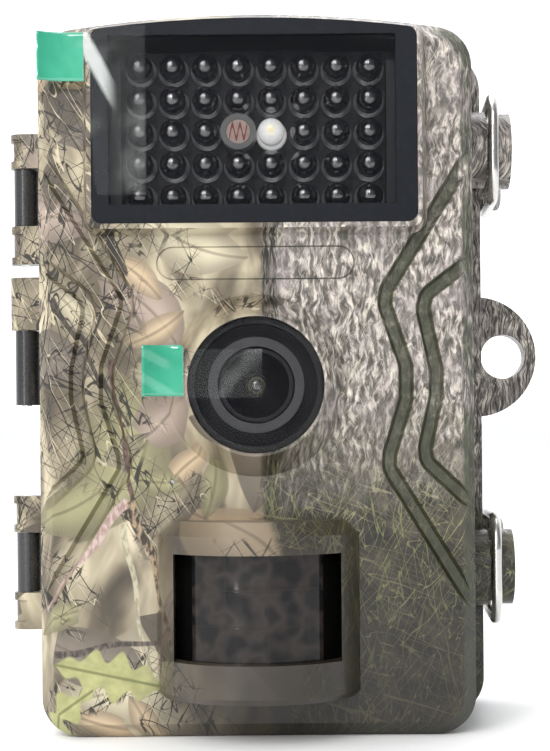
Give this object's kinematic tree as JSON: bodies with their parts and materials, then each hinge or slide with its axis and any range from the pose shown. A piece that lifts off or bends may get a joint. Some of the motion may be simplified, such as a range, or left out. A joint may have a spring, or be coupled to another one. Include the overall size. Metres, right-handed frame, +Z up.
{
  "type": "trail camera",
  "caption": "Compact trail camera: hinged two-shell camouflage case with infrared lamp window, lens bezel, motion sensor hood, side latches, padlock eye and strap ribs.",
  "frame": {"origin": "mouth of the tripod socket, in the base of the case", "axes": "+Z up, -Y the way the camera looks, +X the latch side"},
  "size_m": [0.1049, 0.0681, 0.135],
  "materials": {
    "camo": "hydro-dipped leaf and bark pattern under satin lacquer",
    "smoked_window": "glossy smoked acrylic",
    "black_plastic": "fine satin",
    "grey_plastic": "satin",
    "white_plastic": "satin",
    "led_black": "glossy epoxy",
    "led_clear": "clear epoxy",
    "cell_cover": "printed sleeve",
    "circuit_board": "solder mask",
    "sensor_face": "ceramic disc with meander track",
    "glass": "polished",
    "film": "clear film with green tab",
    "steel": "polished wire",
    "brass": "turned",
    "rubber": "soft matte",
    "lcd": "display glass"
  },
  "bodies": {
    "rear_case": {"rear_shell": "camo", "seal_gasket": "rubber", "tripod_insert": "brass", "hinge_barrels": "black_plastic", "hinge_pins": "steel", "latch_pins": "steel", "battery_tray": "black_plastic", "tray_screws": "steel", "aa_cells": "cell_cover", "battery_springs": "steel", "battery_contacts": "steel", "power_pins": "brass", "dc_jack": "black_plastic"},
    "door": {"card_slot": "steel", "cover_screws": "steel", "front_shell": "camo", "image_sensor": "lcd", "inner_cover": "black_plastic", "ir_leds": "led_black", "key_mat": "rubber", "lcd_screen": "lcd", "led_board": "circuit_board", "led_rails": "grey_plastic", "led_ribbon": "white_plastic", "led_window": "smoked_window", "lens_barrel": "black_plastic", "lens_cover": "glass", "lens_element": "glass", "lens_film": "film", "lens_holder": "black_plastic", "lens_hood": "black_plastic", "light_sensor": "sensor_face", "main_board": "circuit_board", "microphone": "steel", "mode_switch_body": "steel", "pir_board": "circuit_board", "pir_sensor": "steel", "pir_window": "smoked_window", "power_pads": "brass", "sensor_board": "circuit_board", "sensor_collar": "grey_plastic", "speaker": "steel", "usb_port": "steel", "white_led": "led_clear", "window_film": "film"},
    "key_menu": {"key_menu": "rubber"},
    "key_ok": {"key_ok": "rubber"},
    "key_up": {"key_up": "rubber"},
    "key_down": {"key_down": "rubber"},
    "key_left": {"key_left": "rubber"},
    "key_right": {"key_right": "rubber"},
    "mode_knob": {"mode_switch_knob": "black_plastic"},
    "card": {"memory_card": "black_plastic"},
    "ir_filter": {"ir_cut_filter": "black_plastic"},
    "upper_lever": {"latch_lever_upper": "camo"},
    "lower_lever": {"latch_lever_lower": "camo"},
    "upper_bail": {"latch_bail_upper": "steel"},
    "lower_bail": {"latch_bail_lower": "steel"},
    "battery_lid": {"battery_cover": "black_plastic"},
    "port_flap": {"port_cover": "rubber"}
  },
  "joints": [
    {"name": "door_hinge", "type": "hinge", "parent": "rear_case", "child": "door", "pos_m": [-0.0465, -0.011, 0.067], "axis": [0, 0, -1], "range_deg": [0, 120]},
    {"name": "upper_lever_pivot", "type": "hinge", "parent": "rear_case", "child": "upper_lever", "pos_m": [0.0469, -0.004, 0.1113], "axis": [0, 0, -1], "range_deg": [0, 95]},
    {"name": "upper_bail_pivot", "type": "hinge", "parent": "upper_lever", "child": "upper_bail", "pos_m": [0.0467, 0.004, 0.1113], "axis": [0, 0, -1], "range_deg": [-190, 0]},
    {"name": "lower_lever_pivot", "type": "hinge", "parent": "rear_case", "child": "lower_lever", "pos_m": [0.0469, -0.004, 0.0299], "axis": [0, 0, -1], "range_deg": [0, 95]},
    {"name": "lower_bail_pivot", "type": "hinge", "parent": "lower_lever", "child": "lower_bail", "pos_m": [0.0467, 0.004, 0.0299], "axis": [0, 0, -1], "range_deg": [-190, 0]},
    {"name": "key_menu_press", "type": "slide", "parent": "door", "child": "key_menu", "axis": [0, -1, 0], "range_m": [0, 0.0008], "stiffness_N_per_m": 600},
    {"name": "key_ok_press", "type": "slide", "parent": "door", "child": "key_ok", "axis": [0, -1, 0], "range_m": [0, 0.0008], "stiffness_N_per_m": 600},
    {"name": "key_up_press", "type": "slide", "parent": "door", "child": "key_up", "axis": [0, -1, 0], "range_m": [0, 0.0008], "stiffness_N_per_m": 600},
    {"name": "key_down_press", "type": "slide", "parent": "door", "child": "key_down", "axis": [0, -1, 0], "range_m": [0, 0.0008], "stiffness_N_per_m": 600},
    {"name": "key_left_press", "type": "slide", "parent": "door", "child": "key_left", "axis": [0, -1, 0], "range_m": [0, 0.0008], "stiffness_N_per_m": 600},
    {"name": "key_right_press", "type": "slide", "parent": "door", "child": "key_right", "axis": [0, -1, 0], "range_m": [0, 0.0008], "stiffness_N_per_m": 600},
    {"name": "mode_slide", "type": "slide", "parent": "door", "child": "mode_knob", "axis": [1, 0, 0], "range_m": [0, 0.008]},
    {"name": "card_slide", "type": "slide", "parent": "door", "child": "card", "axis": [-1, 0, 0], "range_m": [0, 0.007]},
    {"name": "ir_filter_slide", "type": "slide", "parent": "door", "child": "ir_filter", "axis": [1, 0, 0], "range_m": [0, 0.006]},
    {"name": "battery_lid_slide", "type": "slide", "parent": "rear_case", "child": "battery_lid", "axis": [0, 0, 1], "range_m": [0, 0.005]},
    {"name": "port_flap_hinge", "type": "hinge", "parent": "rear_case", "child": "port_flap", "pos_m": [0.0296, 0, 0.00068], "axis": [0, -1, 0], "range_deg": [0, 100]}
  ],
  "couplings": [
    {"joint": "upper_bail_pivot", "follows": "upper_lever_pivot", "ratio": -2},
    {"joint": "lower_bail_pivot", "follows": "lower_lever_pivot", "ratio": -2}
  ]
}
